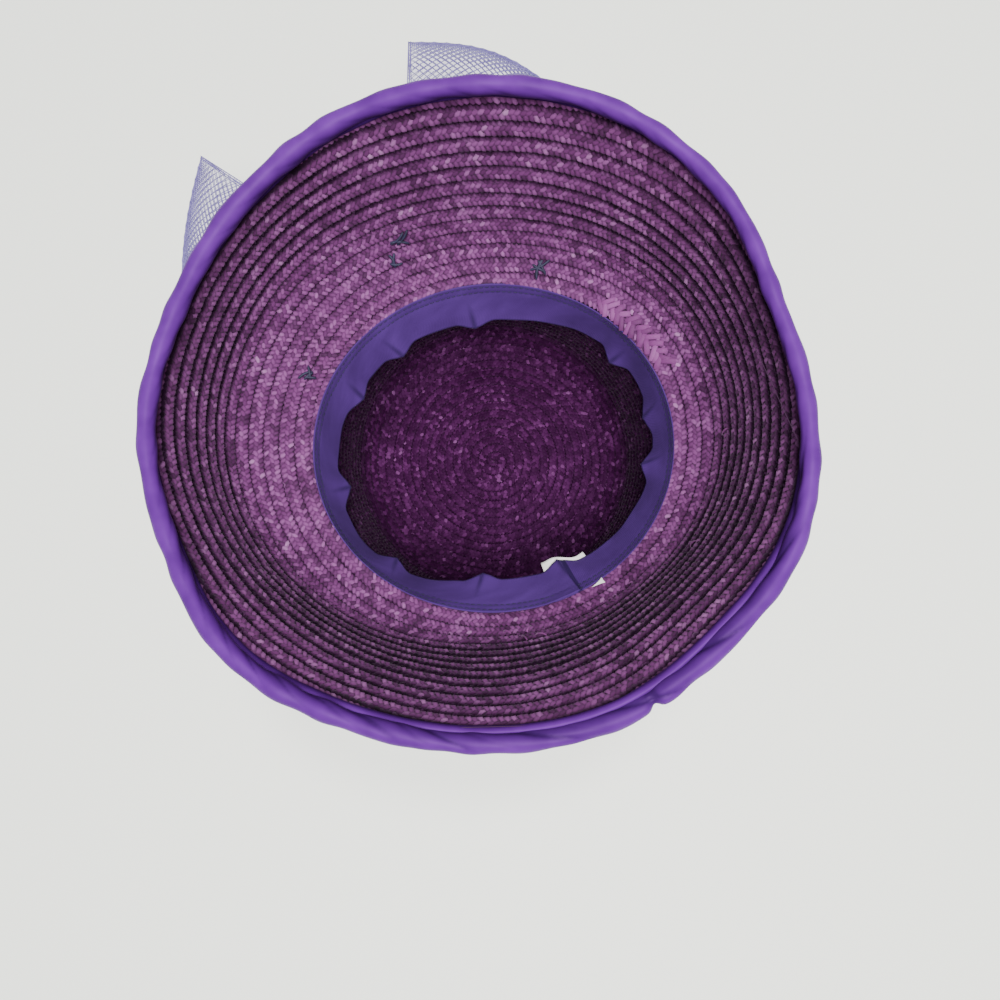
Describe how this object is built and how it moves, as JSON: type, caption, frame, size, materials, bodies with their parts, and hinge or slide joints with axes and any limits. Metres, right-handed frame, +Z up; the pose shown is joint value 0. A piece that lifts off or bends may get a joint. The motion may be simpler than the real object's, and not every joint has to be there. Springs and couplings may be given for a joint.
{
  "type": "straw cloche hat",
  "caption": "Straw cloche hat with a deep bell brim, satin roll round its edge, ribbon sweatband and crin net bow, lying on its crown.",
  "frame": {"origin": "centre of the flat outer crown tip, on which the hat lies", "axes": "+Z up out of the crown through the head opening, the hat lying upside down; +X along the head oval's long axis; the net bow is on the side between +Y and -X"},
  "size_m": [0.3041, 0.3669, 0.1988],
  "materials": {
    "straw": "dyed, low sheen",
    "satin": "satin",
    "ribbon": "matt ribbed",
    "tape": "matt",
    "net": "open crin net"
  },
  "bodies": {
    "root": {"crown": "straw", "brim": "straw", "edge_binding": "satin", "edge_roll": "satin", "sweatband": "ribbon", "label": "tape", "bow_loop_a": "net", "bow_loop_b": "net", "bow_knot": "net"}
  },
  "joints": []
}
